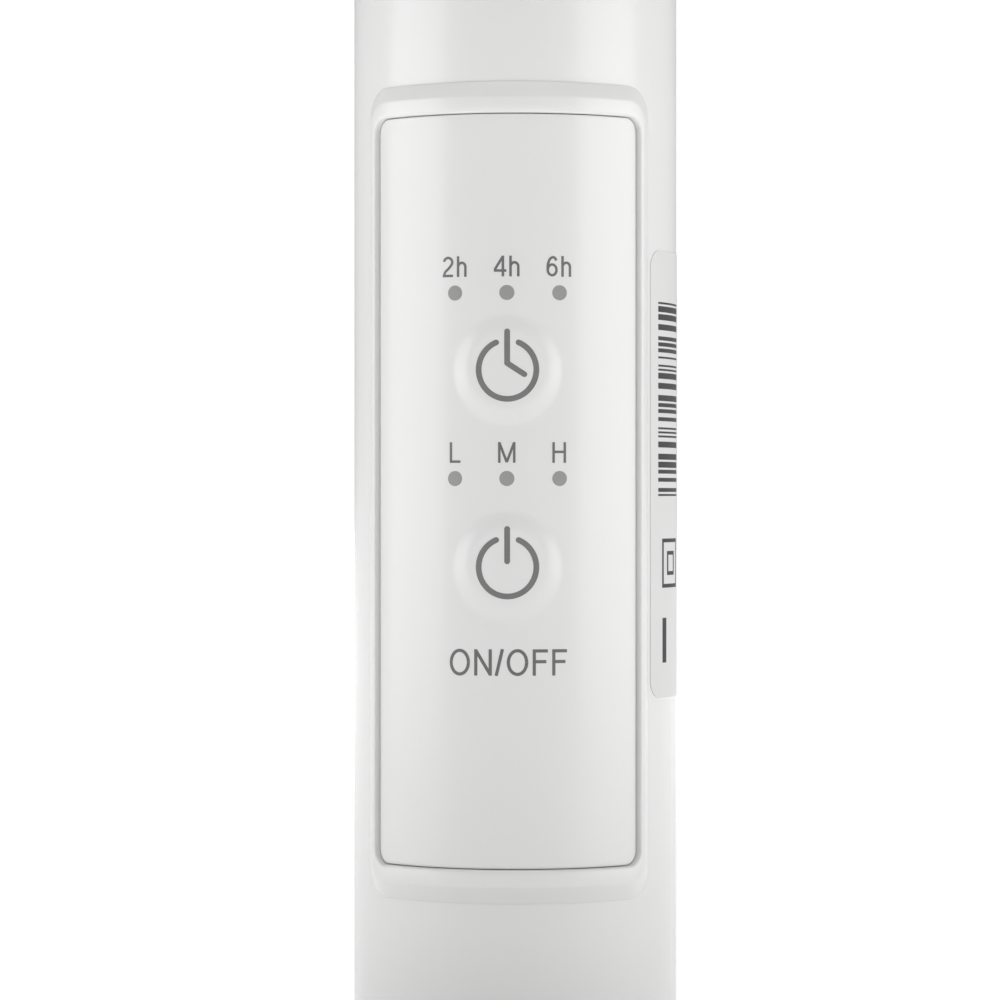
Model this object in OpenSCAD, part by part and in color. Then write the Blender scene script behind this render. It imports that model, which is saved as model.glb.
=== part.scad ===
// Slim column ceramic heater: a round column on a disc foot. The control panel is low on the column, and
// the ceramic element and cross-flow blower are in its upper half. The front faces -Y; the floor is Z = 0.

/* [Column] */
// Outer diameter of the column
column_d = 60; // [60:0.5:62]
// Wall thickness of the column tube and housing shells
wall = 2.2; // [2.0:0.1:2.3]
// Height of the whole heater
total_h = 600; // [600:1:620]

/* [Foot] */
// Diameter of the foot disc
foot_d = 200; // [196:1:220]
// Thickness of the cast weight in the foot
weight_h = 10; // [8:0.5:10]

/* [Control panel] */
// Height of the panel's middle above the floor
panel_z = 135; // [134:0.5:136]
// Height of the panel
panel_h = 135.1; // [134:0.1:136]
// Width of the panel, straight across
panel_w = 46.3; // [46:0.1:46.8]
// Diameter of the embossed key domes
dome_d = 20.4; // [19.6:0.1:20.6]
// Travel of a key
key_travel = 0.5; // [0.3:0.1:0.6]

/* [Heater] */
// Number of louvres in the outlet grille
louvre_count = 52; // [40:1:53]
// Number of slot rows in the intake
intake_rows = 45; // [30:1:46]
// Number of blades round the cross-flow impeller
blade_count = 24; // [12:1:26]

/* [Hidden] */
$fn = 96;

white = "#f2f2f1";
far = 120;                       // longer than any cut needs
column_r = column_d / 2;
bore_r = column_r - wall;        // inside of the column
plug_r = bore_r - 0.2;           // what slides into the column

// Foot
foot_r = foot_d / 2;
pad_h = 2;
plate_t = 2;
plate_top = pad_h + plate_t;
rim_top = 19;
hub_z = rim_top + 5.2;           // top of the cover where the column comes out
hub_r = column_r + 8;
collar_r = column_r + 3;
collar_top = 34;
cover_t = 2.4;
weight_in = 62;
pad_ring = foot_r - 16;
foot_screw_ring = 54;
anchor_screw_ring = 36;
tip_y = -52;
gland_z = 10.6;
gland_bore_r = 3.5;
gland_y = foot_r - 5;            // face of the flat pocket that the gland sits in

// Column heights
split_z = 238;
split_gap = 1.6;
shell_z = split_z + split_gap;
screw_z = [split_z - 8, shell_z + 8];
screw_seat = column_r - 1.4;     // radius that the heads of the shell screws sit at
cap_z = total_h - 14;
tube_z = plate_top + 3;

// Control panel, as distances from the panel's middle
film_r = column_r + 0.2;
film_t = 0.4;
bezel_r = column_r + 1.2;
bezel_w = 50.6;
bezel_h = 146.9;
bezel_slope = 2.4;
bezel_corner = 5.5;
panel_corner = 2.6;
hole_w = 49;
hole_h = 142.6;
timer_z = panel_z + 21.7;
power_z = panel_z - 13.5;
key_z = [timer_z, power_z];
led_rows = [panel_z + 35.4, panel_z + 2.2];
led_pitch = 9.4;
dome_rise = 0.6;
board_y = -17.5;
switch_h = 3.6;
plunger_tip_y = board_y - switch_h - 1.1;

// Heater section
outlet_h = 285.1;
outlet_rise = 42;                // from the joint up to the outlet's frame
outlet_z = (shell_z + split_z) / 2 + outlet_rise + outlet_h / 2;
outlet_w = 43;
outlet_window_h = outlet_h - 11;
louvre_t = 1.6;
louvre_pitch = 5.2;
slot_h = 3;
slot_pitch = 6;
fan_y = 8;                       // the impeller's axis lies behind the column's
fan_r = 13;
scroll_z = 286;
scroll_top = 560;
ptc_z = scroll_z + 1.6;
ptc_top = scroll_top - 1.6;
ptc_front = -20;
ptc_back = -10;
core_z = ptc_z + 12;
core_top = ptc_top - 12;
lead_x = -20;                    // the leads rise beside the motor
motor_z = 252;
motor_h = 22;
mount_z = motor_z + motor_h + 2;
lead_z = mount_z + 4.4;
coupling_z = mount_z + 3;
impeller_z = 290;
impeller_top = 556;

// ---------- shared shapes ----------

// Ring about the column's axis
module ring(r_in, r_out, z0, z1) {
    translate([0, 0, z0]) difference() {
        cylinder(r = r_out, h = z1 - z0);
        translate([0, 0, -1]) cylinder(r = r_in, h = z1 - z0 + 2);
    }
}

// Box given by its two corners
module block(low, high) {
    translate(low) cube(high - low);
}

// Round bar along Y
module bar_y(r, x, z, y0, y1) {
    translate([x, y1, z]) rotate([90, 0, 0]) cylinder(r = r, h = y1 - y0);
}

// Rectangle with round corners, centred
module rounded_rect(w, h, corner) {
    square([w - 2 * corner, h], center = true);
    square([w, h - 2 * corner], center = true);
    for (x = [-1, 1], y = [-1, 1])
        translate([x * (w / 2 - corner), y * (h / 2 - corner)]) circle(r = corner);
}

// Rounded rectangle seen from the front, running from the column's axis out through its front
module front_prism(w, h, corner, z_mid) {
    translate([0, 0, z_mid]) rotate([90, 0, 0]) linear_extrude(far) rounded_rect(w, h, corner);
}

// Plate that follows the column between two radii, with a rounded outline seen from the front
module wrapped_plate(r_in, r_out, w, h, corner, z_mid) {
    intersection() {
        ring(r_in, r_out, z_mid - h, z_mid + h);
        front_prism(w, h, corner, z_mid);
    }
}

// Points of an arc in a profile
function arc(x, z, r, a0, a1, n = 8) = [
    for (i = [0:n]) [x + r * cos(a0 + (a1 - a0) * i / n), z + r * sin(a0 + (a1 - a0) * i / n)]
];

// Pan-head screw pointing up, with its head's top face at z
module foot_screw(z) {
    head = 1.6;
    translate([0, 0, z - head]) cylinder(r = 3.2, h = head);
    translate([0, 0, z - 0.01]) cylinder(r = 1.5, h = 12);
}

module around(count, radius, start = 0) {
    for (i = [0:count - 1])
        rotate([0, 0, start + 360 / count * i]) translate([radius, 0, 0]) children();
}

// Wire that runs through the given points, with a ball at each elbow that covers where the legs cross
module wire(points, r) {
    for (i = [0:len(points) - 2]) {
        leg = points[i + 1] - points[i];
        translate(points[i])
            rotate([0, acos(leg.z / norm(leg)), atan2(leg.y, leg.x)])
            cylinder(r = r, h = norm(leg), $fn = 24);
    }
    for (i = [1:len(points) - 2]) translate(points[i]) rotate([20, 35, 50]) sphere(r = 1.45 * r, $fn = 24);
}

// ---------- foot ----------

module rubber_feet() color("#3a3a3a") around(5, pad_ring, 90) rotate_extrude()
    polygon([[0, 0], [8, 0], [9, 1], [9, pad_h], [0, pad_h]]);

module base_plate() color("#c9c9c9") difference() {
    translate([0, 0, pad_h]) cylinder(r = foot_r - 2.7, h = plate_t);
    around(4, foot_screw_ring, 45) cylinder(r = 1.7, h = far, center = true);
    around(3, anchor_screw_ring, 90) cylinder(r = 1.7, h = far, center = true);
    translate([0, tip_y, 0]) cylinder(r = 2.6, h = far, center = true);
}

module base_screws() color("#9a9a9a") {
    around(4, foot_screw_ring, 45) foot_screw(pad_h);
    around(3, anchor_screw_ring, 90) intersection() {
        foot_screw(pad_h);
        cylinder(r = 4, h = tube_z - 0.2);
    }
}

// Cast ring with a channel for the mains lead
module base_weight() color("#55585c") difference() {
    ring(weight_in, foot_r - 12, plate_top, plate_top + weight_h);
    block([-6, 0, 0], [6, far, far]);
}

// Top of the foot: a shallow cone with a round rim
module base_cover() {
    outer = concat(
        [[foot_r - 0.6, pad_h + 1], [foot_r, pad_h + 1.6]],
        arc(foot_r - 6, rim_top - 6, 6, 0, 85),
        [[hub_r, hub_z], [column_r + 0.2, hub_z]]
    );
    inner = concat(
        [[column_r + 0.2, hub_z - cover_t], [hub_r, hub_z - cover_t]],
        arc(foot_r - 7, rim_top - 7, 7 - cover_t, 85, 0),
        [[foot_r - cover_t, pad_h + 1]]
    );
    color(white) difference() {
        union() {
            rotate_extrude() polygon(concat(outer, inner));
            around(4, foot_screw_ring, 45) translate([0, 0, plate_top])
                cylinder(r = 4, h = rim_top - plate_top + 2.2);
            // wall behind the pocket for the gland
            intersection() {
                block([-16, gland_y - 2.5, plate_top], [16, gland_y, rim_top - 1]);
                translate([0, 0, pad_h]) cylinder(r = foot_r - 1, h = rim_top);
            }
        }
        around(4, foot_screw_ring, 45) translate([0, 0, plate_top - 1]) cylinder(r = 1.55, h = 11.5);
        block([-14, gland_y, -1], [14, far, rim_top + 1]);
        bar_y(5, 0, gland_z, gland_y - 10, foot_r);
    }
}

// Flared ring that hides the joint between the column and the foot
module column_collar() color(white) rotate_extrude() polygon(concat(
    [[column_r + 0.2, collar_top], [column_r + 0.2, hub_z], [hub_r, hub_z]],
    arc(collar_r + 5.4, hub_z + 5.8, 5.4, 270, 180),
    arc(collar_r - 1.2, collar_top - 1.2, 1.2, 0, 90, 4)
));

// Rubber bush that grips the edge of the foot's wall
module cord_gland() color("#e4e4e3") translate([0, gland_y, gland_z]) rotate([-90, 0, 0])
    rotate_extrude() polygon([
        [gland_bore_r, -7], [5.3, -7], [5.7, -2.6], [4.9, -2.6], [4.9, 0.1],
        [6.4, 0.1], [6.4, 1.4], [5.4, 2.8], [gland_bore_r, 2.8]
    ]);

// Plug that carries the column on the base plate
module column_anchor() color("#d8d8d6") difference() {
    union() {
        translate([0, 0, plate_top]) cylinder(r = 42, h = tube_z - plate_top);
        translate([0, 0, tube_z]) cylinder(r = plug_r, h = 23);
    }
    cylinder(r = 12, h = far, center = true);
    cable_slot();
    around(3, anchor_screw_ring, 90) cylinder(r = 1.55, h = far, center = true);
}

module tip_switch_bracket() color("#d8d8d6") difference() {
    union() {
        block([-14, tip_y - 5, plate_top], [14, tip_y + 5, plate_top + 1.6]);
        for (x = [-14, 10.5]) block([x, tip_y - 5, plate_top], [x + 3.5, tip_y + 5, 18]);
        translate([0, tip_y, plate_top]) cylinder(r = 4.5, h = 5);
    }
    translate([0, tip_y, 0]) cylinder(r = 2.6, h = far, center = true);
}

module tip_switch() color("#2f2f31") {
    block([-10.5, tip_y - 3.2, 13.8], [10.5, tip_y + 3.2, 18.4]);
    block([-9, tip_y - 2, 13], [9, tip_y + 2, 13.3]);
    block([-9, tip_y - 2, 13.2], [-8, tip_y + 2, 13.9]);
}

// Pin that the floor holds up, and that drops when the heater is lifted or tips
module tip_plunger() color("#d0d0ce") translate([0, tip_y, 0]) {
    cylinder(r1 = 4, r2 = 5, h = 1);
    translate([0, 0, 0.99]) cylinder(r = 5, h = 0.81);
    cylinder(r = 2.5, h = 12.9);
}

// ---------- lower column and controls ----------

// Way for the mains leads through the column's foot
module cable_slot() {
    block([-5, 0, tube_z], [5, far, gland_z + 4]);
}

// Places for the four screws that join the tube and the housing
module at_shell_screws() {
    for (angle = [-22, 22], z = screw_z) rotate([0, 0, angle]) translate([0, 0, z]) children();
}

// Clearance holes and countersinks for those screws
module screw_holes() at_shell_screws() {
    bar_y(1.65, 0, 0, 20, far);
    bar_y(2.8, 0, 0, screw_seat, far);
}

module lower_tube() color(white) difference() {
    ring(bore_r, column_r, tube_z, split_z);
    cable_slot();
    front_prism(hole_w, hole_h, 4, panel_z);
    screw_holes();
}

module rating_label() color("#ececeb") rotate([0, 0, 97.4])
    wrapped_plate(column_r, column_r + 0.15, 38.5, 81.7, 3.5, panel_z + 3.15);

module control_bezel() color(white) difference() {
    union() {
        wrapped_plate(column_r, column_r + 0.6, bezel_w, bezel_h, bezel_corner, panel_z);
        wrapped_plate(column_r, bezel_r, bezel_w - 0.2, bezel_h - bezel_slope, bezel_corner - 0.4, panel_z);
        wrapped_plate(bore_r - 1, column_r + 0.3, hole_w - 0.4, hole_h - 0.6, 3.8, panel_z);
    }
    // seat for the key carrier, above a ledge
    intersection() {
        front_prism(panel_w + 0.4, panel_h + 0.4, panel_corner + 0.2, panel_z);
        ring(column_r - 2, far, panel_z - panel_h, panel_z + panel_h);
    }
    front_prism(panel_w - 3, panel_h - 3, panel_corner, panel_z);
}

module control_carrier() color("#e9e9e8") difference() {
    wrapped_plate(column_r - 1.95, film_r - film_t, panel_w - 0.2, panel_h - 0.2, panel_corner, panel_z);
    for (z = key_z) bar_y(dome_d / 2 + 0.1, 0, z, -far, 0);
    for (z = led_rows, x = [-led_pitch, 0, led_pitch]) bar_y(1.4, x, z, -far, 0);
}

// Printed film, with a hollow dome over each key
module overlay_film() color("#efefee") {
    dome_r = dome_d / 2;
    difference() {
        wrapped_plate(film_r - film_t, film_r, panel_w, panel_h, panel_corner, panel_z);
        for (z = key_z) bar_y(dome_r - 0.4, 0, z, -far, 0);
    }
    for (z = key_z) difference() {
        intersection() {
            ring(film_r - film_t, film_r + dome_rise, z - far / 2, z + far / 2);
            bar_y(dome_r, 0, z, -far, 0);
        }
        intersection() {
            ring(film_r - 2, film_r + dome_rise - film_t, z - far / 2, z + far / 2);
            bar_y(dome_r - 0.4, 0, z, -far, 0);
        }
    }
}

// Rigid key under its dome, with a retaining flange and a stem
module key(z) color("#e9e9e8") {
    intersection() {
        ring(26.5, film_r + 0.1, z - 15, z + 15);
        bar_y(dome_d / 2 - 2, 0, z, -far, 0);
    }
    intersection() {
        ring(26.5, column_r - 2.3, z - 15, z + 15);
        bar_y(dome_d / 2 + 0.8, 0, z, -far, 0);
    }
    bar_y(2.4, 0, z, -27, plunger_tip_y);
}
module timer_key() key(timer_z);
module power_key() key(power_z);

module switch_plunger(z) color("#2b2b2d") bar_y(1.7, 0, z, plunger_tip_y, board_y - 1.4 - key_travel);
module timer_switch_plunger() switch_plunger(timer_z);
module power_switch_plunger() switch_plunger(power_z);

module tact_switches() color("#3a3a3d") for (z = key_z) difference() {
    block([-3, board_y - switch_h, z - 3], [3, board_y, z + 3]);
    bar_y(1.8, 0, z, -far, board_y - 1.2);
}

// Two bars of clear plastic with three pins each
module light_guides() color("#9c9c9c") for (z = led_rows) intersection() {
    union() {
        block([-11.5, -23, z - 1.6], [11.5, -21.5, z + 1.6]);
        for (x = [-led_pitch, 0, led_pitch]) bar_y(1.3, x, z, -far, board_y - 1.6);
    }
    translate([0, 0, z - 5]) cylinder(r = film_r - film_t, h = 10);
}

module leds() color("#f4e8b0") for (z = led_rows, x = [-led_pitch, 0, led_pitch])
    block([x - 1.5, board_y - 1.3, z - 1], [x + 1.5, board_y, z + 1]);

module control_board() color("#2e6b46") difference() {
    block([-18.5, board_y, panel_z - 36], [18.5, board_y + 1.6, panel_z + 46]);
    for (x = [-15, 15], z = [panel_z - 32, panel_z + 42]) bar_y(1.6, x, z, -far, 0);
}

// Chassis between the two boards
module board_bracket() color("#dededc") difference() {
    union() {
        block([-21.5, -15.4, panel_z - 66], [21.5, -13.4, panel_z + 66]);
        for (x = [-15, 15]) {
            for (z = [panel_z - 32, panel_z + 42]) bar_y(2.6, x, z, board_y + 1.6, -14);
            for (z = [panel_z - 32, panel_z + 42]) bar_y(1.5, x, z, -18.3, -14);
            for (z = [panel_z - 52, panel_z + 52]) bar_y(2.6, x, z, -14, 2);
        }
        // legs up to the key carrier
        intersection() {
            for (x = [-16, 16], z = [panel_z - 60, panel_z + 60]) bar_y(2.6, x, z, -far, -14);
            cylinder(r = column_r - 2.05, h = split_z);
        }
    }
    for (z = [panel_z - 20, panel_z + 24]) block([-12, -far, z - 16], [12, -10, z + 16]);
}

module power_board() color("#2e6b46") difference() {
    block([-18, 2, panel_z - 58], [18, 3.6, panel_z + 58]);
    for (x = [-15, 15], z = [panel_z - 52, panel_z + 52]) bar_y(1.4, x, z, 0, far);
}

module relays() color("#2a4f86") for (x = [-15.5, 0.5])
    block([x, 3.6, panel_z + 18], [x + 15, 18.6, panel_z + 37]);

module transformer() color("#c9a227") {
    block([-9, 3.6, panel_z - 10], [9, 19, panel_z + 8]);
    block([-6, 3.6, panel_z - 13], [6, 16, panel_z + 11]);
}

module mains_capacitor() color("#a8a29a") block([-9, 3.6, panel_z - 28], [9, 12.6, panel_z - 16]);

module fuse() color("#b9bcc0") translate([-10, 7, panel_z - 34]) rotate([0, 90, 0]) {
    cylinder(r = 2.6, h = 20);
    for (x = [1, 14]) translate([-3, -3.4, x]) cube([6, 5, 5]);
}

module terminal_block() color("#3d7a52") difference() {
    block([-11, 3.6, panel_z - 52], [11, 13.6, panel_z - 41]);
    for (x = [-7.3, 0, 7.3]) translate([x, 8.6, panel_z - 60]) cylinder(r = 2, h = 14);
}

module lead_connector() color("#e8e4da")
    block([-17.5, 3.6, panel_z + 39], [-13.5, 14.4, panel_z + 47]);

// Leads up from the foot to the terminal block
module mains_leads() color("#4a4a4c") for (x = [-7.3, 7.3])
    wire([[x / 3, 78, gland_z], [x / 3, 5, gland_z], [x, 8.6, 45], [x, 8.6, panel_z - 46]], 1.3);

// Leads from the power board up the side of the column to the element's two terminals
module heater_leads() color("#b03a2e") {
    start_z = panel_z + 47.5;
    bend_z = panel_z + 60;
    cross_z = lead_z + 3.2;
    wire([[-15.5, 5.6, start_z], [lead_x, 6, bend_z], [lead_x, 6, lead_z], [-2.2, -13.1, lead_z]], 1.2);
    wire([[-15.5, 9, start_z], [lead_x, 9.6, bend_z], [lead_x, 9.6, cross_z], [1.3, -13.1, cross_z]], 1.2);
}

module motor_lead() color("#3a3a3c")
    wire([[-15.5, 12.4, panel_z + 47.5], [lead_x, 13, panel_z + 60],
        [lead_x, 13, motor_z + 8], [-16.8, 11.5, motor_z + 10]], 1.2);

// ---------- joint between tube and housing ----------

module lead_notch(z0, z1) {
    block([-far, 4.2, z0 - 1], [lead_x + 1.8, 11.4, z1 + 1]);
}

module coupler_ring() color("#e2e2e0") difference() {
    union() {
        ring(plug_r - 2.2, plug_r, split_z - 16, shell_z + 11);
        ring(plug_r - 2.2, column_r - 1, split_z, shell_z);
        translate([0, 0, split_z - 2]) cylinder(r = plug_r - 1, h = shell_z - split_z + 2);
        at_shell_screws() bar_y(3.4, 0, 0, 21, 25.8);
    }
    at_shell_screws() bar_y(1.55, 0, 0, 18, far);
    block([lead_x - 1.8, 4.2, split_z - 5], [lead_x + 1.8, 14.8, shell_z + 1]);
}

module shell_screws() color("#8f9296") at_shell_screws() difference() {
    union() {
        bar_y(2.6, 0, 0, screw_seat, screw_seat + 1.1);
        bar_y(1.5, 0, 0, 21, screw_seat + 0.1);
    }
    block([-1.7, screw_seat + 0.5, -0.3], [1.7, column_r, 0.3]);
    block([-0.3, screw_seat + 0.5, -1.7], [0.3, column_r, 1.7]);
}

// ---------- heater housing ----------

module front_shell() color(white) difference() {
    ring(bore_r, column_r, shell_z, cap_z);
    block([-far, -0.06, 0], [far, far, total_h]);
    front_prism(hole_w, outlet_h - 4.3, 4, outlet_z);
}

module rear_shell() color(white) difference() {
    ring(bore_r, column_r, shell_z, cap_z);
    block([-far, -far, 0], [far, 0.06, total_h]);
    for (i = [0:intake_rows - 1]) {
        z = outlet_z + (i - (intake_rows - 1) / 2) * slot_pitch;
        for (span = [[-22.4, -8.2], [-7, 7], [8.2, 22.4]])
            block([span[0], 5, z - slot_h / 2], [span[1], far, z + slot_h / 2]);
    }
    screw_holes();
}

// Raised frame that matches the control bezel
module outlet_frame() color(white) difference() {
    union() {
        wrapped_plate(column_r, column_r + 0.6, bezel_w, outlet_h, bezel_corner, outlet_z);
        wrapped_plate(column_r, bezel_r, bezel_w - 0.2, outlet_h - bezel_slope,
            bezel_corner - 0.4, outlet_z);
        wrapped_plate(bore_r - 1, column_r + 0.3, hole_w - 0.4, outlet_h - 4.9, 3.8, outlet_z);
    }
    front_prism(outlet_w, outlet_window_h, panel_corner, outlet_z);
}

// Stack of louvres with blunt noses, held by three uprights behind them
module outlet_louvres() color(white) {
    back_r = bore_r - 0.6;
    half_h = outlet_window_h / 2 - 0.1;
    intersection() {
        for (i = [0:louvre_count - 1]) {
            z = outlet_z + (i - (louvre_count - 1) / 2) * louvre_pitch;
            rotate([0, 0, -140]) rotate_extrude(angle = 100) polygon([
                [back_r, z - louvre_t / 2], [column_r - 0.2, z - louvre_t / 2],
                [column_r + 0.4, z - 0.4], [column_r + 0.4, z + 0.4],
                [column_r - 0.2, z + louvre_t / 2], [back_r, z + louvre_t / 2]
            ]);
        }
        front_prism(outlet_w - 0.1, outlet_window_h, panel_corner, outlet_z);
    }
    for (x = [-11, 0, 11]) intersection() {
        block([x - 0.7, -far, outlet_z - half_h], [x + 0.7, 0, outlet_z + half_h]);
        ring(back_r + 0.5, back_r + 1.6, outlet_z - outlet_window_h, outlet_z + outlet_window_h);
    }
}

// Sheet of mesh that lies inside the intake
module dust_filter() color("#8c9094") difference() {
    ring(bore_r - 0.8, bore_r - 0.2, scroll_z - 4, scroll_top + 2);
    block([-far, -far, 0], [far, 12, total_h]);
}

module top_cap() color(white) rotate_extrude() polygon(concat(
    [[0, total_h - 2.4], [24, total_h - 2.4], [column_r - wall - 2, total_h - 7],
     [plug_r - 2, cap_z - 8], [plug_r, cap_z - 8], [plug_r, cap_z],
     [column_r - 0.6, cap_z], [column_r - 0.6, cap_z + 0.4], [column_r, cap_z + 0.4]],
    arc(column_r - 4, total_h - 4.6, 4, 0, 84),
    [[0, total_h]]
));

// ---------- motor and blower ----------

module motor_housing() color("#b4b7ba") translate([0, fan_y, motor_z]) difference() {
    union() {
        cylinder(r = 16.4, h = motor_h);
        translate([0, 0, -1.4]) cylinder(r = 4, h = 2);
    }
    translate([0, 0, 2]) cylinder(r = 15.2, h = motor_h - 4);
    cylinder(r = 1.55, h = 2 * motor_h + 10, center = true);
}

// Rotor with the motor's shaft
module motor_rotor() color("#7d8084") translate([0, fan_y, motor_z]) {
    translate([0, 0, 3]) cylinder(r = 14.2, h = motor_h - 6);
    translate([0, 0, -0.8]) cylinder(r = 1.5, h = coupling_z + 5.8 - motor_z);
}

module motor_grommets() color("#2b2b2b") translate([0, fan_y, motor_z + motor_h]) around(3, 12, 90)
    cylinder(r = 3.5, h = 2);

// Disc across the housing: it reaches the walls at the sides only, and clears the outlet and the filter
module bulkhead(z, thickness) {
    translate([0, 0, z]) cylinder(r = bore_r - 1.2, h = thickness);
    intersection() {
        translate([0, 0, z]) cylinder(r = plug_r, h = thickness);
        block([-far, -9, z], [far, 11.5, z + thickness]);
    }
}

module motor_mount() color("#c9c9c9") difference() {
    bulkhead(mount_z, 2);
    translate([0, fan_y, mount_z - 1]) cylinder(r = 6.5, h = 4);
    lead_notch(mount_z, mount_z + 2);
}

module shaft_coupling() color("#2b2b2b") translate([0, fan_y, coupling_z]) difference() {
    cylinder(r = 4.6, h = impeller_z - 0.4 - coupling_z);
    translate([0, 0, -1]) cylinder(r = 1.5, h = 6);
    translate([0, 0, 6]) cylinder(r = 3, h = 10);
}

// Cross-flow impeller: curved blades between thin discs, turning on a stub at each end
module impeller() {
    disc_t = 1.4;
    bays = 5;
    bay = (impeller_top - impeller_z - disc_t) / bays;
    color("#cfd2d4") translate([0, fan_y, 0]) {
        for (k = [0:bays]) translate([0, 0, impeller_z + k * bay]) difference() {
            cylinder(r = fan_r, h = disc_t);
            if (k > 0 && k < bays) translate([0, 0, -1]) cylinder(r = fan_r - 4, h = 4);
        }
        translate([0, 0, impeller_z]) linear_extrude(impeller_top - impeller_z)
            for (i = [0:blade_count - 1]) rotate(360 / blade_count * i) intersection() {
                difference() {
                    circle(r = fan_r - 0.05);
                    circle(r = fan_r - 3.6);
                }
                translate([fan_r - 2.4, 4.2]) difference() {
                    circle(r = 4.6);
                    circle(r = 3.9);
                    translate([-6, 0]) square([12, 6]);
                }
            }
        translate([0, 0, coupling_z + 6]) cylinder(r = 3, h = impeller_z + 0.01 - coupling_z - 6);
        translate([0, 0, impeller_top - 0.01]) cylinder(r = 1.5, h = 9);
    }
}

module blower_scroll() color("#dcdcda") difference() {
    union() {
        for (z = [scroll_z, scroll_top - 1.6]) bulkhead(z, 1.6);
        translate([0, 0, scroll_z]) linear_extrude(scroll_top - scroll_z) {
            intersection() {
                translate([0, fan_y]) difference() {
                    circle(r = fan_r + 3.4);
                    circle(r = fan_r + 1.8);
                }
                polygon([[0, fan_y], [-20, fan_y + 16.8], [-20, 2]]);
            }
            polygon([[-16.3, 5], [-14.6, 5], [-15.8, -9.6], [-17.4, -9.6]]);
            polygon([[15.8, -9.6], [17.4, -9.6], [16.2, 1.6], [14.8, 1.6]]);
            translate([15.5, 1.6]) circle(r = 0.9);
        }
    }
    translate([0, fan_y, scroll_z - 1]) cylinder(r = 6, h = far * 3);
    lead_notch(scroll_z - 2, scroll_z + 2);
    block([-4, -18, scroll_z - 1], [4, -12, scroll_z + 2]);
}

module bearing_holder() color("#c9c9c9") translate([0, fan_y, scroll_top]) difference() {
    union() {
        cylinder(r = 11, h = 1.6);
        cylinder(r = 6.5, h = 6);
    }
    translate([0, 0, -1]) cylinder(r = 4.5, h = 8);
}

module bearing_bush() color("#b08d57") translate([0, fan_y, scroll_top]) difference() {
    cylinder(r = 4.45, h = 6);
    translate([0, 0, -1]) cylinder(r = 1.55, h = 8);
}

// ---------- ceramic element ----------

module ptc_frame() color("#3c3c3e") difference() {
    block([-15.4, ptc_front, ptc_z], [15.4, ptc_back, ptc_top]);
    block([-12.8, -far, core_z], [12.8, 0, core_top]);
    block([-2.4, -16.4, 0], [2.4, -13.6, core_z + 1]);
}

module ptc_stones() color("#b9b2a3") {
    stone_count = 10;
    pitch = (core_top - core_z) / stone_count;
    for (i = [0:stone_count - 1])
        translate([-1.2, ptc_front + 1, core_z + i * pitch + 0.5])
            cube([2.4, ptc_back - ptc_front - 2, pitch - 1]);
}

module ptc_electrodes() color("#c4c7c9") for (side = [-1, 1]) {
    x = side * 1.7;
    block([x - 0.5, ptc_front + 1, core_z], [x + 0.5, ptc_back - 1, core_top]);
    block([x - 0.5, -16, mount_z + 3], [x + 0.5, -14, core_z + 0.01]);
    block([side * 12.5 - 0.3, ptc_front + 0.6, core_z], [side * 12.5 + 0.3, ptc_back - 0.6, core_top]);
}

// Folded aluminium strip between two plates, seen from the front as a tight zigzag
module fin_pack(x0, x1) {
    folds = 84;
    fold_t = 0.55;               // half the strip's thickness, measured across the pack
    pitch = (core_top - core_z) / folds;
    middle = [for (i = [0:folds]) [i % 2 == 0 ? x0 + fold_t : x1 - fold_t, core_z + i * pitch]];
    color("#c8cbcd") translate([0, ptc_back - 0.7, 0]) rotate([90, 0, 0])
        linear_extrude(ptc_back - ptc_front - 1.4)
        polygon(concat(
            [for (p = middle) p + [fold_t, 0]], [for (i = [folds:-1:0]) middle[i] - [fold_t, 0]]
        ));
}
module ptc_fins_left() fin_pack(-12.2, -2.2);
module ptc_fins_right() fin_pack(2.2, 12.2);

module thermal_cutout() color("#8a8d90") translate([0, -15, scroll_top]) {
    cylinder(r = 6.5, h = 5);
    translate([0, 0, 4.99]) cylinder(r = 5, h = 2);
    for (x = [-4, 4]) translate([x - 1.5, -0.4, 6.9]) cube([3, 0.8, 5]);
}

module thermal_fuse() color("#d9d4c5") translate([12, -12, scroll_top + 2]) rotate([0, 90, 35])
    cylinder(r = 2, h = 10);

// ---------- assembly ----------

rubber_feet();
base_plate();
base_screws();
base_weight();
base_cover();
column_collar();
cord_gland();
column_anchor();
tip_switch_bracket();
tip_switch();
tip_plunger();
lower_tube();
rating_label();
control_bezel();
control_carrier();
overlay_film();
timer_key();
timer_switch_plunger();
power_key();
power_switch_plunger();
tact_switches();
light_guides();
leds();
control_board();
board_bracket();
power_board();
relays();
transformer();
mains_capacitor();
fuse();
terminal_block();
lead_connector();
mains_leads();
heater_leads();
motor_lead();
coupler_ring();
shell_screws();
front_shell();
rear_shell();
outlet_frame();
outlet_louvres();
dust_filter();
top_cap();
motor_housing();
motor_rotor();
motor_grommets();
motor_mount();
shaft_coupling();
impeller();
blower_scroll();
bearing_holder();
bearing_bush();
ptc_frame();
ptc_stones();
ptc_electrodes();
ptc_fins_left();
ptc_fins_right();
thermal_cutout();
thermal_fuse();
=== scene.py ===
"""Looks of the slim column heater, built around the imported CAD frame."""

import math

import bpy
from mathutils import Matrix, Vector
from mathutils.geometry import delaunay_2d_cdt


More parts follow.
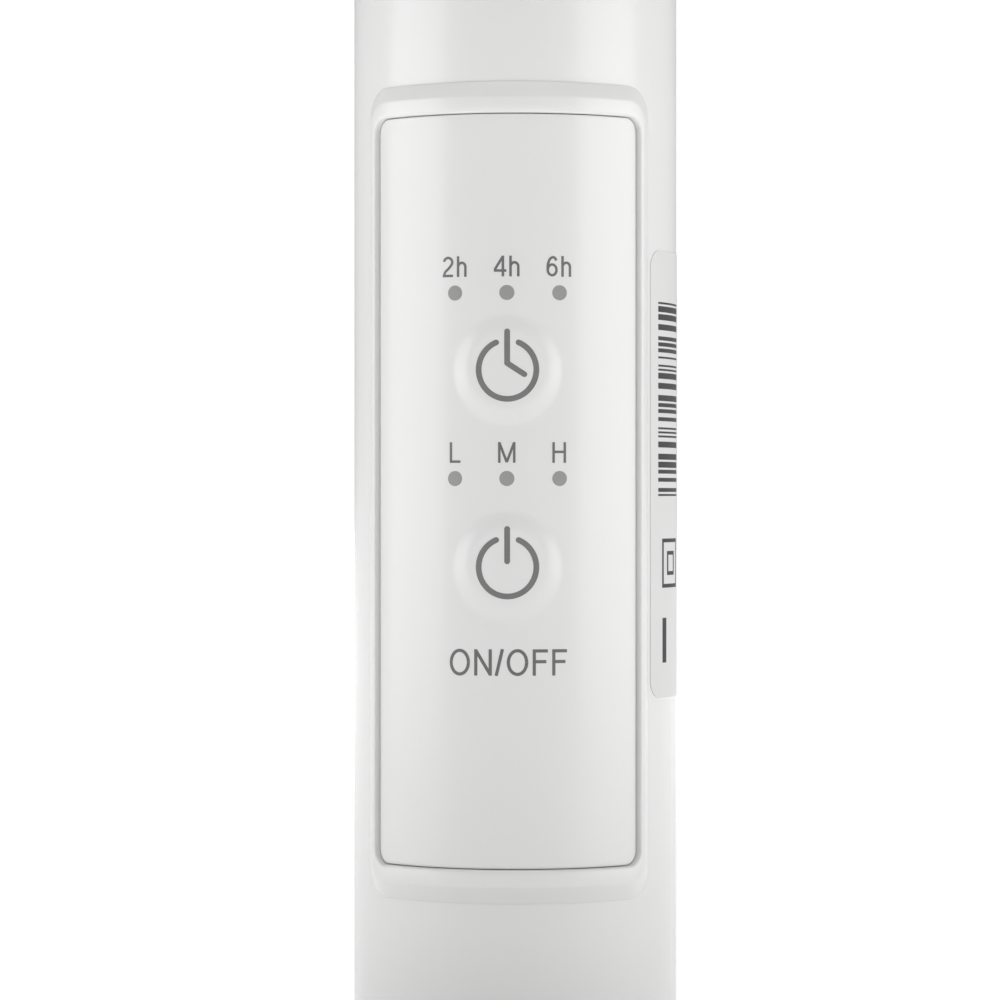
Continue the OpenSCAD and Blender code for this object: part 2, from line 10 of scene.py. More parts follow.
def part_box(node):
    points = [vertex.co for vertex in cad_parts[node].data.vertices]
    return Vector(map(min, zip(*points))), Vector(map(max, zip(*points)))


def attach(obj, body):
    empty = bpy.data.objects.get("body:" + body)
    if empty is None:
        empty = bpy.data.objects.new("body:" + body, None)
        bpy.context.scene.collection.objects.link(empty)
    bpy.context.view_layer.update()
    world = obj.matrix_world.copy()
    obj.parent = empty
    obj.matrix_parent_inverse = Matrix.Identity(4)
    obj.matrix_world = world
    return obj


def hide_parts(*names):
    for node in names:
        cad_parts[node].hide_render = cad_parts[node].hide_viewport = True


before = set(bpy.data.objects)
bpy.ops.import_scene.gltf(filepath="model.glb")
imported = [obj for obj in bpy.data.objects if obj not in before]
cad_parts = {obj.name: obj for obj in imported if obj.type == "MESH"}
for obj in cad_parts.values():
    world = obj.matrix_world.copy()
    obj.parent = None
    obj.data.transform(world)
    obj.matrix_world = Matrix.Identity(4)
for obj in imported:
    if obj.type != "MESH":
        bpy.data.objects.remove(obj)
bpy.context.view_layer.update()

MM = 0.001

# ---------- measures, in millimetres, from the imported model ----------


def node_box(name):
    low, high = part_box(name)
    return [c / MM for c in low], [c / MM for c in high]


tube_low, tube_high = node_box("lower_tube")
film_low, film_high = node_box("overlay_film")
bezel_low, bezel_high = node_box("control_bezel")
grille_low, grille_high = node_box("outlet_frame")
louvre_low, louvre_high = node_box("outlet_louvres")
led_low, led_high = node_box("leds")
label_low, label_high = node_box("rating_label")

R = tube_high[0]  # radius of the column
PANEL_Z = (film_low[2] + film_high[2]) / 2
PANEL_H = (film_high[2] - film_low[2]) / 2
WALL = 2.2  # thickness of the tube's wall
FILM_R = R + 0.2
FILM_THICK = 0.36
FILM_CORNER = 2.6
FILM_SOFT = 0.5  # width of the film's rounded edge
FILM_FALL = 0.16  # how far that edge falls
CREST_R = -bezel_low[1]
PANEL_U = R * math.asin(film_high[0] / FILM_R)
PANEL_SHIFT = -0.62  # the surround and the film sit this far round from the front
FILM_U = PANEL_U + 0.34
FILM_H = PANEL_H - 0.12
BEZEL_U = R * math.asin(bezel_high[0] / (R + 0.6)) + 0.6
BEZEL_H = (bezel_high[2] - bezel_low[2]) / 2
BEZEL_DROP = 0.24  # the surround's outer edge lies this much lower than its opening
OPENING_CORNER, OUTER_CORNER = 2.75, 5.6
SCREW_ANGLES = (158, 202)  # degrees round from the front
SCREW_HEAD_R = 2.8
SCREW_SEAT_R = R - 1.4
SCREW_BELOW_SEAM = 8
KEY_U = 0.14  # the keys' domes and symbols sit this far round from the front
TIMER_Z = sum(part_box("timer_key")[i][2] for i in (0, 1)) / 2 / MM
POWER_Z = sum(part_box("power_key")[i][2] for i in (0, 1)) / 2 / MM
KEY_HEIGHTS = (TIMER_Z, POWER_Z)
LED_R = 1
LED_TOP = led_high[2] - LED_R
LED_LOW = led_low[2] + LED_R
LED_U = R * math.radians(18.2)
DOME_R = 10.2
PLATEAU_R = 7.1
DOME_RISE = 0.58


def on_column(u, v, r):
    """The point u mm round the column from the front and v mm up, at radius r mm, in metres."""
    a = u / R
    return (r * math.sin(a) * MM, -r * math.cos(a) * MM, v * MM)


# ---------- materials ----------


def material(name, colour, rough, metal=0.0, vary=0.02, rough_vary=0.06, scale=60.0, bump=0.0,
             bump_scale=900.0, stretch=(1, 1, 1)):
    """A procedural finish: slow changes of colour and gloss, and a fine grain in relief."""
    m = bpy.data.materials.new(name)
    m.use_nodes = True
    nodes, links = m.node_tree.nodes, m.node_tree.links
    shader = nodes["Principled BSDF"]
    shader.inputs["Metallic"].default_value = metal
    place = nodes.new("ShaderNodeTexCoord")
    mapping = nodes.new("ShaderNodeMapping")
    mapping.inputs["Scale"].default_value = stretch
    links.new(place.outputs["Object"], mapping.inputs["Vector"])
    cloud = nodes.new("ShaderNodeTexNoise")
    cloud.inputs["Scale"].default_value = scale
    cloud.inputs["Detail"].default_value = 4
    links.new(mapping.outputs["Vector"], cloud.inputs["Vector"])
    ramp = nodes.new("ShaderNodeValToRGB")
    ramp.color_ramp.elements[0].position = 0.3
    ramp.color_ramp.elements[1].position = 0.7
    ramp.color_ramp.elements[0].color = [c * (1 - vary) for c in colour] + [1]
    ramp.color_ramp.elements[1].color = [min(1, c * (1 + vary)) for c in colour] + [1]
    links.new(cloud.outputs["Fac"], ramp.inputs["Fac"])
    links.new(ramp.outputs["Color"], shader.inputs["Base Color"])
    fine = nodes.new("ShaderNodeTexNoise")
    fine.inputs["Scale"].default_value = bump_scale
    fine.inputs["Detail"].default_value = 3
    links.new(mapping.outputs["Vector"], fine.inputs["Vector"])
    gloss = nodes.new("ShaderNodeMapRange")
    gloss.inputs["To Min"].default_value = max(0.02, rough - rough_vary)
    gloss.inputs["To Max"].default_value = min(1, rough + rough_vary)
    links.new(cloud.outputs["Fac"], gloss.inputs["Value"])
    links.new(gloss.outputs["Result"], shader.inputs["Roughness"])
    if bump:
        relief = nodes.new("ShaderNodeBump")
        relief.inputs["Strength"].default_value = 1.0
        relief.inputs["Distance"].default_value = bump * MM
        links.new(fine.outputs["Fac"], relief.inputs["Height"])
        links.new(relief.outputs["Normal"], shader.inputs["Normal"])
    return m


def woven_material(name, colour):
    """A fine woven mesh: two crossed sets of threads in relief."""
    m = material(name, colour, 0.7, vary=0.08)
    nodes, links = m.node_tree.nodes, m.node_tree.links
    place = nodes.new("ShaderNodeTexCoord")
    waves = []
    for direction in ("X", "Z"):
        w = nodes.new("ShaderNodeTexWave")
        w.bands_direction = direction
        w.inputs["Scale"].default_value = 420
        links.new(place.outputs["Object"], w.inputs["Vector"])
        waves.append(w)
    both = nodes.new("ShaderNodeMath")
    both.operation = "MAXIMUM"
    for i, w in enumerate(waves):
        links.new(w.outputs["Fac"], both.inputs[i])
    relief = nodes.new("ShaderNodeBump")
    relief.inputs["Distance"].default_value = 0.15 * MM
    links.new(both.outputs["Value"], relief.inputs["Height"])
    links.new(relief.outputs["Normal"], nodes["Principled BSDF"].inputs["Normal"])
    return m


GLOSS = material("gloss_white", (0.80, 0.80, 0.795), 0.26, vary=0.006, rough_vary=0.03, scale=25,
                 bump=0.004, bump_scale=500)
BEZEL = material("bezel_white", (0.80, 0.80, 0.795), 0.22, vary=0.006, rough_vary=0.03, scale=30,
                 bump=0.003, bump_scale=600)
FILM = material("film_white", (0.79, 0.79, 0.785), 0.24, vary=0.005, rough_vary=0.02, scale=40, bump=0.002,
                bump_scale=1500)
INK = material("legend_grey", (0.150, 0.150, 0.148), 0.45, vary=0.05, scale=300, bump=0.001,
               bump_scale=3000)
ICON = material("symbol_grey", (0.185, 0.185, 0.182), 0.45, vary=0.05, scale=300, bump=0.001,
                bump_scale=3000)
WINDOW = material("window_grey", (0.32, 0.32, 0.312), 0.3, vary=0.03, scale=200, bump=0.001,
                  bump_scale=2000)
LABEL = material("label_satin", (0.72, 0.72, 0.715), 0.42, vary=0.01, scale=80, bump=0.003, bump_scale=2500)
LABEL_INK = material("label_ink", (0.035, 0.035, 0.035), 0.6, vary=0.06, scale=500, bump=0.001,
                     bump_scale=3000)
RUBBER = material("rubber_black", (0.035, 0.035, 0.036), 0.72, vary=0.15, scale=150, bump=0.03,
                  bump_scale=1800)
RUBBER_WHITE = material("rubber_white", (0.66, 0.66, 0.65), 0.55, vary=0.03, scale=120, bump=0.012,
                        bump_scale=1500)
FRAME = material("moulding_natural", (0.66, 0.66, 0.645), 0.42, vary=0.02, scale=70, bump=0.012,
                 bump_scale=1200)
BLACK = material("moulding_black", (0.022, 0.022, 0.024), 0.42, vary=0.1, scale=90, bump=0.012,
                 bump_scale=1200)
ZINC = material("zinc_plate", (0.62, 0.63, 0.65), 0.34, metal=1, vary=0.08, rough_vary=0.1, scale=140,
                bump=0.004, bump_scale=900)
STEEL = material("screw_steel", (0.5, 0.5, 0.52), 0.3, metal=1, vary=0.08, rough_vary=0.1, scale=300,
                 bump=0.004, bump_scale=2000)
IRON = material("cast_iron", (0.10, 0.105, 0.11), 0.7, metal=0.6, vary=0.25, scale=120, bump=0.12,
                bump_scale=700)
ALUMINIUM = material("aluminium", (0.74, 0.75, 0.76), 0.32, metal=1, vary=0.05, rough_vary=0.1, scale=200,
                     bump=0.004, bump_scale=1500, stretch=(1, 1, 0.15))
BRONZE = material("sintered_bronze", (0.45, 0.32, 0.15), 0.5, metal=1, vary=0.15, scale=400, bump=0.02,
                  bump_scale=3000)
CERAMIC = material("fired_ceramic", (0.50, 0.46, 0.38), 0.6, vary=0.1, scale=300, bump=0.02,
                   bump_scale=2200)
BOARD = material("solder_mask", (0.02, 0.13, 0.055), 0.3, vary=0.15, scale=260, bump=0.01, bump_scale=1400)
RELAY = material("relay_blue", (0.02, 0.08, 0.26), 0.4, vary=0.06, scale=90, bump=0.008, bump_scale=1400)
TAPE = material("coil_tape", (0.62, 0.38, 0.03), 0.35, vary=0.1, scale=120, bump=0.02, bump_scale=500,
                stretch=(1, 1, 6))
GUIDE = material("smoked_clear", (0.30, 0.30, 0.295), 0.12, vary=0.03, scale=90, bump=0.002, bump_scale=900)
RESIN = material("led_resin", (0.85, 0.76, 0.42), 0.15, vary=0.04, scale=200, bump=0.002, bump_scale=900)
RED = material("lead_red", (0.45, 0.035, 0.02), 0.4, vary=0.06, scale=200, bump=0.006, bump_scale=1500)
GREY = material("lead_grey", (0.05, 0.05, 0.052), 0.45, vary=0.08, scale=200, bump=0.006, bump_scale=1500)
MESH = woven_material("filter_mesh", (0.13, 0.135, 0.14))

finishes = {
    GLOSS: ["base_cover", "column_collar", "lower_tube", "front_shell", "rear_shell", "top_cap"],
    BEZEL: ["control_bezel", "outlet_frame", "outlet_louvres"],
    FILM: ["overlay_film", "control_carrier", "timer_key", "power_key"],
    LABEL: ["rating_label"],
    RUBBER: ["rubber_feet", "motor_grommets", "shaft_coupling"],
    RUBBER_WHITE: ["cord_gland"],
    FRAME: ["column_anchor", "tip_switch_bracket", "tip_plunger", "board_bracket", "mains_capacitor",
            "lead_connector", "coupler_ring", "blower_scroll", "bearing_holder"],
    BLACK: ["tip_switch", "timer_switch_plunger", "power_switch_plunger", "tact_switches", "ptc_frame"],
    ZINC: ["base_plate", "motor_housing", "motor_mount"],
    STEEL: ["base_screws", "shell_screws", "motor_rotor", "thermal_cutout"],
    IRON: ["base_weight"],
    ALUMINIUM: ["impeller", "ptc_electrodes", "ptc_fins_left", "ptc_fins_right"],
    BRONZE: ["bearing_bush"],
    CERAMIC: ["ptc_stones", "fuse", "thermal_fuse"],
    BOARD: ["control_board", "power_board", "terminal_block"],
    RELAY: ["relays"],
    TAPE: ["transformer"],
    GUIDE: ["light_guides"],
    RESIN: ["leds"],
    RED: ["heater_leads"],
    GREY: ["mains_leads", "motor_lead"],
    MESH: ["dust_filter"],
}
for finish, names in finishes.items():
    for name in names:
        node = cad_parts[name]
        node.data.materials.clear()
        node.data.materials.append(finish)

# ---------- mesh builders ----------


def make_object(name, verts, faces, finish, smooth_angle=40):
    mesh = bpy.data.meshes.new(name)
    mesh.from_pydata(verts, [], faces)
    mesh.validate()
    mesh.shade_smooth()
    mesh.set_sharp_from_angle(angle=math.radians(smooth_angle))
    mesh.materials.append(finish)
    obj = bpy.data.objects.new(name, mesh)
    bpy.context.scene.collection.objects.link(obj)
    return obj


def place(obj, body, slot, *nodes):
    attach(obj, body)
    if nodes:
        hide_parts(*nodes)
    return obj


def outline(half_u, half_v, corner, mid_v, mid_u=0.0, around=96, side=40, corner_steps=10):
    """Rounded rectangle on the unrolled column, counter-clockwise, always with the same number of points."""
    points = []
    corners = [(1, -1, -90), (1, 1, 0), (-1, 1, 90), (-1, -1, 180)]
    for k, (sx, sy, start) in enumerate(corners):
        cx, cy = sx * (half_u - corner), sy * (half_v - corner)
        for i in range(corner_steps + 1):
            a = math.radians(start + 90 * i / corner_steps)
            points.append((mid_u + cx + corner * math.cos(a), mid_v + cy + corner * math.sin(a)))
        nx, ny, after = corners[(k + 1) % 4]
        steps = side if k % 2 == 0 else around
        x0, y0 = points[-1]
        a = math.radians(after)
        x1 = mid_u + nx * (half_u - corner) + corner * math.cos(a)
        y1 = mid_v + ny * (half_v - corner) + corner * math.sin(a)
        for i in range(1, steps):
            points.append((x0 + (x1 - x0) * i / steps, y0 + (y1 - y0) * i / steps))
    return points


def surround(name, inner_u, inner_v, inner_corner, outer_corner, mid_u, mid_v, shape, drop=0.0):
    """Raised frame on the column. Each point of its profile gives how far it lies from the inner edge, for
    the upright bars and for the level bars, and its radius. Drop is how much lower the outer edge lies."""
    rings = []
    reach = max(p[1] for p in shape)
    for du, dv, r in shape:
        share = dv / reach
        corner = inner_corner + (outer_corner - inner_corner) * share
        path = outline(inner_u + du, inner_v + dv, corner, mid_v - drop * share, mid_u)
        rings.append([on_column(u, v, r) for u, v in path])
    count = len(rings[0])
    verts = [p for ring in rings for p in ring]
    faces = []
    n = len(rings)
    for k in range(n):
        a, b = k * count, ((k + 1) % n) * count
        for i in range(count):
            j = (i + 1) % count
            faces.append((a + i, a + j, b + j, b + i))
    return make_object(name, verts, faces, BEZEL, 60)


def triangulated(polygons, loose=(), loops=()):
    """Triangles that cover the polygons, whether or not these overlap. The loose points only refine them, and
    the loops are kept as edges."""
    verts, faces, edges = [], [], []
    for polygon in polygons:
        faces.append(list(range(len(verts), len(verts) + len(polygon))))
        verts += [Vector(p) for p in polygon]
    for loop in loops:
        first, count = len(verts), len(loop)
        edges += [(first + i, first + (i + 1) % count) for i in range(count)]
        verts += [Vector(p) for p in loop]
    verts += [Vector(p) for p in loose]
    out, _, tris, _, _, owners = delaunay_2d_cdt(verts, edges, faces, 1, 1e-5)
    return out, [t for t, own in zip(tris, owners) if own]


def slab(name, points, tris, top, bottom, finish, smooth_angle=40):
    """Closed thin body over a triangulated patch of the unrolled column; top and bottom give the radii."""
    used = sorted({i for t in tris for i in t})
    index = {old: new for new, old in enumerate(used)}
    flat = [points[i] for i in used]
    tris = [[index[i] for i in t] for t in tris]
    n = len(flat)
    verts = [on_column(p[0], p[1], top(p[0], p[1])) for p in flat]
    verts += [on_column(p[0], p[1], bottom(p[0], p[1])) for p in flat]
    faces = [tuple(t) for t in tris] + [tuple(i + n for i in reversed(t)) for t in tris]
    edges = {}
    for t in tris:
        for a, b in zip(t, t[1:] + t[:1]):
            edges[(a, b)] = edges.get((a, b), 0) + 1
    for a, b in edges:
        if (b, a) not in edges:
            faces.append((b, a, a + n, b + n))
    return make_object(name, verts, faces, finish, smooth_angle)


def split_long(polygon, step=0.4):
    """The polygon with points added so that no side is longer than step."""
    out = []
    for a, b in zip(polygon, polygon[1:] + polygon[:1]):
        steps = max(1, math.ceil(math.dist(a, b) / step))
        out += [(a[0] + (b[0] - a[0]) * i / steps, a[1] + (b[1] - a[1]) * i / steps) for i in range(steps)]
    return out


def ink(name, polygons, radius, finish=INK, proud=0.03, loose=()):
    """Print on the column: thin closed strokes that stand a hair above the surface."""
    points, tris = triangulated([split_long(p) for p in polygons], loose)
    return slab(name, points, tris, lambda u, v: radius + proud, lambda u, v: radius - 0.05, finish, 30)


def disc(cx, cy, r, steps=48):
    return [(cx + r * math.cos(2 * math.pi * i / steps), cy + r * math.sin(2 * math.pi * i / steps))
            for i in range(steps)]


def ribbon(path, width):
    """Outline of a stroke of that width along an open path."""
    left, right = [], []
    for i, (x, y) in enumerate(path):
        ax, ay = path[max(0, i - 1)]
        bx, by = path[min(len(path) - 1, i + 1)]
        length = math.hypot(bx - ax, by - ay)
        nx, ny = -(by - ay) / length, (bx - ax) / length
        left.append((x + nx * width / 2, y + ny * width / 2))
        right.append((x - nx * width / 2, y - ny * width / 2))
    return right + left[::-1]


def arc_path(cx, cy, rx, ry, start, end, steps=28):
    return [(cx + rx * math.cos(math.radians(start + (end - start) * i / steps)),
             cy + ry * math.sin(math.radians(start + (end - start) * i / steps))) for i in range(steps + 1)]


def smooth_path(knots, steps=6):
    """Catmull-Rom curve through the knots."""
    pts = [knots[0]] + knots + [knots[-1]]
    out = []
    for k in range(1, len(pts) - 2):
        p0, p1, p2, p3 = pts[k - 1:k + 3]
        for i in range(steps):
            t = i / steps
            out.append(tuple(0.5 * (2 * b + (c - a) * t + (2 * a - 5 * b + 4 * c - d) * t * t
                                    + (3 * b - a - 3 * c + d) * t ** 3)
                             for a, b, c, d in zip(p0, p1, p2, p3)))
    return out + [knots[-1]]


# Light sans strokes, in units of the capital height: (width of the glyph, stroke centrelines)
W = 0.122
H = W / 2
GLYPHS = {
    "2": (0.56, [arc_path(0.285, 0.715, 0.215, 0.215, 172, -28, 24)
                 + smooth_path([(0.44, 0.56), (0.30, 0.40), (0.13, 0.24), (0.07, 0.07)])[1:],
                 [(0.0, H), (0.54, H)]]),
    "4": (0.60, [[(0.435, 0.0), (0.435, 1.0)], [(0.43, 0.955), (0.045, 0.33)],
                 [(0.0, 0.285), (0.60, 0.285)]]),
    "6": (0.56, [arc_path(0.285, 0.325, 0.215, 0.258, 0, 360, 40),
                 smooth_path([(0.07, 0.33), (0.085, 0.60), (0.16, 0.82), (0.30, 0.93), (0.42, 0.90),
                              (0.49, 0.78)])]),
    "h": (0.50, [[(H, 0.0), (H, 1.0)],
                 arc_path(0.25, 0.475, 0.182, 0.205, 165, 0, 20) + [(0.432, 0.3), (0.432, 0.0)]]),
    "L": (0.55, [[(H, 0.0), (H, 1.0)], [(0.0, H), (0.55, H)]]),
    "M": (0.84, [[(H, 0.0), (H, 1.0)], [(0.84 - H, 0.0), (0.84 - H, 1.0)],
                 [(H + 0.01, 0.96), (0.42, 0.03)], [(0.83 - H, 0.96), (0.42, 0.03)]]),
    "H": (0.68, [[(H, 0.0), (H, 1.0)], [(0.68 - H, 0.0), (0.68 - H, 1.0)], [(0.02, 0.53), (0.66, 0.53)]]),
    "O": (0.81, [arc_path(0.405, 0.50, 0.345, 0.45, 0, 360, 48)]),
    "N": (0.68, [[(H, 0.0), (H, 1.0)], [(0.68 - H, 0.0), (0.68 - H, 1.0)], [(H, 0.96), (0.68 - H, 0.04)]]),
    "F": (0.58, [[(H, 0.0), (H, 1.0)], [(0.0, 1.0 - H), (0.58, 1.0 - H)], [(0.0, 0.53), (0.52, 0.53)]]),
    "/": (0.23, [[(-0.005, -0.01), (0.235, 1.01)]]),
}


def legend(text, mid_u, mid_v, cap, width):
    """Polygons of a word centred at mid_u, mid_v, with the letters spaced to fill the width."""
    letters = [GLYPHS[c] for c in text]
    gap = (width / cap - sum(g[0] for g in letters)) / max(1, len(letters) - 1)
    if len(letters) == 1:
        gap, width = 0, letters[0][0] * cap
    x, polygons = mid_u - width / 2, []
    for glyph_width, strokes in letters:
        for stroke in strokes:
            path = [(x + px * cap, mid_v + (py - 0.5) * cap) for px, py in stroke]
            polygons.append(ribbon(path, W * cap))
        x += (glyph_width + gap) * cap
    return polygons


# ---------- column tube ----------

TUBE_SHARP = 35  # edges sharper than this many degrees stay crisp
TUBE_OVERLAP_U, TUBE_OVERLAP_V = 2.4, 3.2  # how far the surround covers the tube


def tube(name, z0, z1, window_u, window_v0, window_v1, finish):
    """Smooth tube wall with a window at the front and softened ends."""
    steps = 288
    rows = [(z0, R - WALL), (z0, R - 0.15), (z0 + 0.05, R - 0.05), (z0 + 0.15, R)]
    outer_low = len(rows) * steps
    outer_high = outer_low + steps
    rows += [(window_v0, R), (window_v1, R)]
    rows += [(z1 - 0.25, R), (z1 - 0.08, R - 0.08), (z1, R - 0.25), (z1, R - WALL)]
    inner_high = len(rows) * steps
    inner_low = inner_high + steps
    rows += [(window_v1, R - WALL), (window_v0, R - WALL)]
    verts, faces = [], []
    for z, r in rows:
        for i in range(steps):
            a = 2 * math.pi * i / steps - math.pi
            verts.append((r * math.sin(a) * MM, -r * math.cos(a) * MM, z * MM))
    n = len(rows)
    hidden = [i for i in range(steps) if abs((i + 0.5) / steps * 2 * math.pi - math.pi) * R < window_u]
    for k in range(n):
        m = (k + 1) % n
        for i in range(steps):
            j = (i + 1) % steps
            if k * steps in (outer_low, inner_high) and i in hidden:
                continue
            faces.append((k * steps + i, k * steps + j, m * steps + j, m * steps + i))
    lo, hi = hidden[0], (hidden[-1] + 1) % steps
    for i in hidden:
        j = (i + 1) % steps
        faces.append((outer_low + i, outer_low + j, inner_low + j, inner_low + i))
        faces.append((inner_high + i, inner_high + j, outer_high + j, outer_high + i))
    faces.append((outer_low + lo, inner_low + lo, inner_high + lo, outer_high + lo))
    faces.append((outer_low + hi, outer_high + hi, inner_high + hi, inner_low + hi))
    return make_object(name, verts, faces, finish, TUBE_SHARP)


def sink_holes(obj, z, radius, seat):
    """Round screw recesses, each from the seat outwards."""
    verts, faces, steps = [], [], 32
    for angle in SCREW_ANGLES:
        a = math.radians(angle)
        out, side = Vector((math.sin(a), -math.cos(a), 0)), Vector((math.cos(a), math.sin(a), 0))
        base = len(verts)
        for r in (seat, R + 3):
            for i in range(steps):
                t = 2 * math.pi * i / steps
                point = out * r + side * radius * math.cos(t) + Vector((0, 0, z + radius * math.sin(t)))
                verts.append(point * MM)
        faces.append(tuple(base + i for i in reversed(range(steps))))
        faces.append(tuple(base + steps + i for i in range(steps)))
        for i in range(steps):
            j = (i + 1) % steps
            faces.append((base + i, base + j, base + steps + j, base + steps + i))
    cutter = make_object("cutter", verts, faces, GLOSS)
    cut = obj.modifiers.new("recesses", "BOOLEAN")
    cut.operation, cut.solver, cut.object = "DIFFERENCE", "EXACT", cutter
    mesh = bpy.data.meshes.new_from_object(obj.evaluated_get(bpy.context.evaluated_depsgraph_get()))
    obj.modifiers.clear()
    obj.data = mesh
    mesh.shade_smooth()
    mesh.set_sharp_from_angle(angle=math.radians(TUBE_SHARP))
    bpy.data.objects.remove(cutter)
    return obj


window_half = BEZEL_H - TUBE_OVERLAP_V
column_tube = tube("column_tube", tube_low[2], tube_high[2], BEZEL_U - TUBE_OVERLAP_U,
                   PANEL_Z - window_half, PANEL_Z + window_half, GLOSS)
place(sink_holes(column_tube, tube_high[2] - SCREW_BELOW_SEAM, SCREW_HEAD_R, SCREW_SEAT_R), "column",
      "white_gloss", "lower_tube")

# ---------- control surround and outlet surround ----------

inner_u, inner_h = FILM_U + 0.12, FILM_H + 0.16
side_total, end_total = BEZEL_U - inner_u, BEZEL_H - inner_h
# Distance from the opening across the upright bars, the same across the level bars, and radius
profile = [
    (0.0, 0.0, FILM_R - 1.6),
    (0.0, 0.0, CREST_R - 0.62),
    (0.02, 0.03, CREST_R - 0.40),
    (0.06, 0.11, CREST_R - 0.24),
    (0.13, 0.23, CREST_R - 0.12),
    (0.23, 0.40, CREST_R - 0.04),
    (0.36, 0.65, CREST_R - 0.01),
    (0.65, 1.60, CREST_R),
    (1.05, 2.70, CREST_R),
    (1.25, 3.00, CREST_R - 0.04),
    (1.45, 3.25, CREST_R - 0.12),
    (1.70, 3.55, CREST_R - 0.25),
    (side_total - 0.20, end_total - 0.20, R + 0.34),
    (side_total - 0.05, end_total - 0.05, R + 0.26),
    (side_total, end_total, R + 0.20),
    (side_total - 0.04, end_total - 0.04, R + 0.14),
    (side_total - 0.40, end_total - 0.40, R + 0.09),
    (side_total - 0.45, end_total - 0.45, R - 0.20),
]
place(surround("control_surround", inner_u, inner_h, OPENING_CORNER, OUTER_CORNER, PANEL_SHIFT, PANEL_Z,
               profile, BEZEL_DROP), "column", "white_gloss", "control_bezel")

# ---------- panel film ----------


def film_top(u, v):
    """Radius of the film's face, which falls away at its edge."""
    du = FILM_U - abs(u - PANEL_SHIFT)
    dv = FILM_H - abs(v - PANEL_Z)
    if du < FILM_CORNER and dv < FILM_CORNER:
        edge = FILM_CORNER - math.hypot(FILM_CORNER - du, FILM_CORNER - dv)
    else:
        edge = min(du, dv)
    edge = max(0.0, edge)
    if edge >= FILM_SOFT:
        return FILM_R
    return FILM_R - FILM_FALL * (1 - edge / FILM_SOFT) ** 2


dome_holes = [disc(KEY_U, z, DOME_R, 128) for z in KEY_HEIGHTS]
rims = [outline(FILM_U - d, FILM_H - d, FILM_CORNER - d, PANEL_Z, PANEL_SHIFT, 96, 140)
        for d in (0, 0.06, 0.13, 0.22, 0.34, FILM_SOFT, 0.9)]
GRID_U, GRID_V = 0.8, 2.0  # spacing of the points that let a sheet follow the column
loose = []
for i in range(-31, 32):
    for j in range(-32, 33):
        point = (PANEL_SHIFT + i * GRID_U, PANEL_Z + j * GRID_V)
        if all(math.hypot(point[0] - KEY_U, point[1] - z) > DOME_R + 0.5 for z in KEY_HEIGHTS):
            loose.append(point)
film_points, film_tris = triangulated([rims[0]] + dome_holes, loose, rims[1:])


def in_dome(tri):
    cu = sum(film_points[i][0] for i in tri) / 3
    cv = sum(film_points[i][1] for i in tri) / 3
    return any(math.hypot(cu - KEY_U, cv - z) < DOME_R * 0.9995 for z in KEY_HEIGHTS)


film_tris = [t for t in film_tris if not in_dome(t)]
place(slab("panel_film", film_points, film_tris, film_top, lambda u, v: FILM_R - FILM_THICK, FILM, 50),
      "column", "panel_film", "overlay_film")


def dome(name, mid_v, body, *nodes):
    """Embossed disc of the film, which moves with its key."""
    shoulder = PLATEAU_R - 0.4

    def rise(d):
        if d <= shoulder:
            return DOME_RISE
        t = min(1.0, (d - shoulder) / (DOME_R - shoulder))
        return DOME_RISE * (1 - t * t * (3 - 2 * t))

    radii = [0.5 + 0.55 * i for i in range(12)] + [shoulder + 0.1 * i for i in range(35)] + [DOME_R]
    steps = 128
    points, tris = [(KEY_U, mid_v)], []
    for r in radii:
        points += disc(KEY_U, mid_v, r, steps)
    for i in range(steps):
        tris.append((0, 1 + i, 1 + (i + 1) % steps))
    for k in range(len(radii) - 1):
        a, b = 1 + k * steps, 1 + (k + 1) * steps
        for i in range(steps):
            j = (i + 1) % steps
            tris += [(a + i, b + i, b + j), (a + i, b + j, a + j)]
    top = lambda u, v: FILM_R + rise(math.hypot(u - KEY_U, v - mid_v))
    bottom = lambda u, v: top(u, v) - FILM_THICK
    return place(slab(name, points, tris, top, bottom, FILM, 50), body, "panel_film", *nodes)


dome("timer_dome", TIMER_Z, "timer_button")
dome("power_dome", POWER_Z, "power_button")

# ---------- prints on the panel ----------

TIME_LEGENDS = (("2h", -LED_U), ("4h", 0), ("6h", LED_U - 0.18))
TIME_V, TIME_CAP, TIME_WIDTH = PANEL_Z + 40.22, 3.71, 4.6
LEVEL_LEGENDS = (("L", -LED_U + 0.1), ("M", 0), ("H", LED_U - 0.12))
LEVEL_V, LEVEL_CAP = PANEL_Z + 6.95, 3.7
POWER_V, POWER_CAP, POWER_WIDTH = PANEL_Z - 30.55, 4.7, 21.3
WINDOW_R = 1.35
WINDOW_PITCH, WINDOW_MID, WINDOW_RISE = LED_U - 0.07, 0.02, 0.1

times = [p for text, u in TIME_LEGENDS for p in legend(text, u, TIME_V, TIME_CAP, TIME_WIDTH)]
levels = [p for text, u in LEVEL_LEGENDS for p in legend(text, u, LEVEL_V, LEVEL_CAP, 1)]
on_off = legend("ON/OFF", 0.2, POWER_V, POWER_CAP, POWER_WIDTH)
place(ink("time_legends", times, FILM_R), "column", "panel_film")
place(ink("level_legends", levels, FILM_R), "column", "panel_film")
place(ink("power_legend", on_off, FILM_R), "column", "panel_film")
windows = [(k * WINDOW_PITCH + WINDOW_MID, z + WINDOW_RISE) for z in (LED_TOP, LED_LOW)
           for k in (-1, 0, 1)]
inside_windows = [p for u, v in windows for r in (0.4, 0.9) for p in disc(u, v, r, 16)]
place(ink("light_windows", [disc(u, v, WINDOW_R) for u, v in windows], FILM_R, WINDOW, 0.02, inside_windows),
      "column", "clear_guide")


